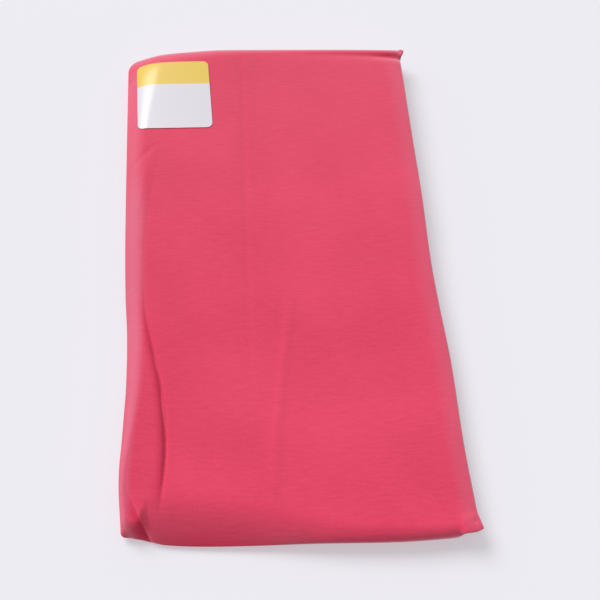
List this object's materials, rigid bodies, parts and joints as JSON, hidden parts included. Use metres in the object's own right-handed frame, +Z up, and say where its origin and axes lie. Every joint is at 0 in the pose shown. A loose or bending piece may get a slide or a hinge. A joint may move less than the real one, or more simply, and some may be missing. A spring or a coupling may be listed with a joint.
{
  "type": "folded leggings",
  "caption": "Plain stretch-jersey leggings folded leg on leg into a flat oblong packet, with rolled ends, stacked folds at one side and a blank paper label.",
  "frame": {"origin": "centre of the packet's outline in plan, on the surface that it lies on", "axes": "+X to the stacked folds at the packet's right, +Y to the far end with the waist fold, +Z up"},
  "size_m": [0.1958, 0.3537, 0.0197],
  "materials": {
    "cotton_lycra_jersey": "matt coral-rose single jersey with a faint fuzz",
    "label_paper": "smooth white self-adhesive paper with a yellow band across its far third"
  },
  "bodies": {
    "root": {"leg_outer": "cotton_lycra_jersey", "leg_inner": "cotton_lycra_jersey", "folded_layers": "cotton_lycra_jersey", "waistband": "cotton_lycra_jersey", "label": "label_paper"}
  },
  "joints": []
}
